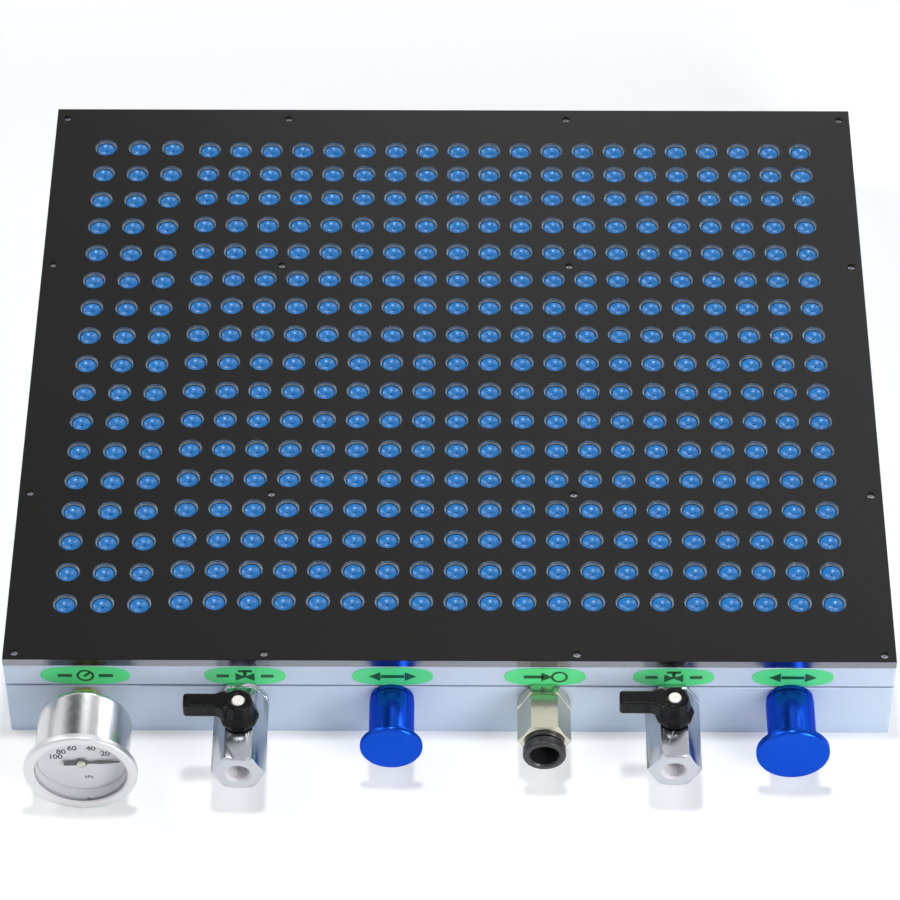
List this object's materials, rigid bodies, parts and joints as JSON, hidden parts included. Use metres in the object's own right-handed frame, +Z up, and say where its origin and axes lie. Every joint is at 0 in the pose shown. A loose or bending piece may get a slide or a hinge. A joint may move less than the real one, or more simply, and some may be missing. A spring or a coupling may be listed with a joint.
{
  "type": "multi-hole vacuum chuck",
  "caption": "Flat vacuum work-holding chuck: dished rubber pads in a black cover plate on a bolted aluminium chamber, with gauge, ball valves, pull valves and a push-in tube inlet in front.",
  "frame": {"origin": "centre of the plate's footprint on its underside", "axes": "+Z up out of the holding face; +Y away from the row of fittings, which stands on the -Y face; +X to the right as seen from the fittings"},
  "size_m": [0.5, 0.5064, 0.064],
  "materials": {
    "plate_aluminium": "milled, bright",
    "black_plate": "black, satin",
    "pad_rubber": "blue, smooth",
    "seal_rubber": "black",
    "steel": "plated",
    "gauge_steel": "polished",
    "glass": "clear",
    "dial_plate": "matt",
    "needle_black": "matt",
    "brass": "machined",
    "plated_brass": "nickel plated",
    "seat_plastic": "white",
    "black_plastic": "black, moulded",
    "blue_anodised": "blue anodised",
    "green_label": "printed sticker"
  },
  "bodies": {
    "chuck": {"base_chamber": "plate_aluminium", "base_gasket": "seal_rubber", "base_screws": "steel", "manifold_plate": "plate_aluminium", "cover_seal": "seal_rubber", "cover_plate": "black_plate", "cover_screws": "steel", "suction_pads": "pad_rubber", "gauge_socket": "brass", "gauge_case": "gauge_steel", "gauge_bezel": "gauge_steel", "gauge_window": "glass", "gauge_dial": "dial_plate", "gauge_movement": "brass", "gauge_bourdon_tube": "brass", "left_valve_tail": "plated_brass", "left_valve_body": "plated_brass", "left_valve_seats": "seat_plastic", "right_valve_tail": "plated_brass", "right_valve_body": "plated_brass", "right_valve_seats": "seat_plastic", "left_pull_housing": "plated_brass", "right_pull_housing": "plated_brass", "inlet_body": "plated_brass", "inlet_seal": "seal_rubber", "inlet_grip_ring": "steel", "inlet_collar": "black_plastic", "port_washers": "seat_plastic", "label_gauge": "green_label", "label_left_valve": "green_label", "label_left_pull": "green_label", "label_inlet": "green_label", "label_right_valve": "green_label", "label_right_pull": "green_label"},
    "needle": {"gauge_needle": "needle_black", "gauge_needle_cap": "brass"},
    "left_valve_turning": {"left_valve_ball": "plated_brass", "left_valve_stem": "brass", "left_valve_lever": "black_plastic", "left_valve_lever_screw": "steel"},
    "right_valve_turning": {"right_valve_ball": "plated_brass", "right_valve_stem": "brass", "right_valve_lever": "black_plastic", "right_valve_lever_screw": "steel"},
    "left_pull_sliding": {"left_pull_knob": "blue_anodised", "left_pull_spool": "plated_brass", "left_pull_seals": "seal_rubber"},
    "right_pull_sliding": {"right_pull_knob": "blue_anodised", "right_pull_spool": "plated_brass", "right_pull_seals": "seal_rubber"},
    "release_sleeve": {"inlet_sleeve": "black_plastic"}
  },
  "joints": [
    {"name": "needle_turn", "type": "hinge", "parent": "chuck", "child": "needle", "pos_m": [-0.2045, -0.2722, 0.032], "axis": [0, -1, 0], "range_deg": [0, 160], "stiffness_Nm_per_rad": 0.0005, "springref_deg": -11.46},
    {"name": "left_valve_turn", "type": "hinge", "parent": "chuck", "child": "left_valve_turning", "pos_m": [-0.117, -0.251, 0.031], "axis": [0, 0, 1], "range_deg": [0, 90]},
    {"name": "right_valve_turn", "type": "hinge", "parent": "chuck", "child": "right_valve_turning", "pos_m": [0.1255, -0.248, 0.031], "axis": [0, 0, 1], "range_deg": [0, 90]},
    {"name": "left_pull_slide", "type": "slide", "parent": "chuck", "child": "left_pull_sliding", "axis": [0, -1, 0], "range_m": [0, 0.008]},
    {"name": "right_pull_slide", "type": "slide", "parent": "chuck", "child": "right_pull_sliding", "axis": [0, -1, 0], "range_m": [0, 0.008]},
    {"name": "release_slide", "type": "slide", "parent": "chuck", "child": "release_sleeve", "axis": [0, 1, 0], "range_m": [0, 0.0018], "stiffness_N_per_m": 150, "springref_m": -0.001}
  ]
}
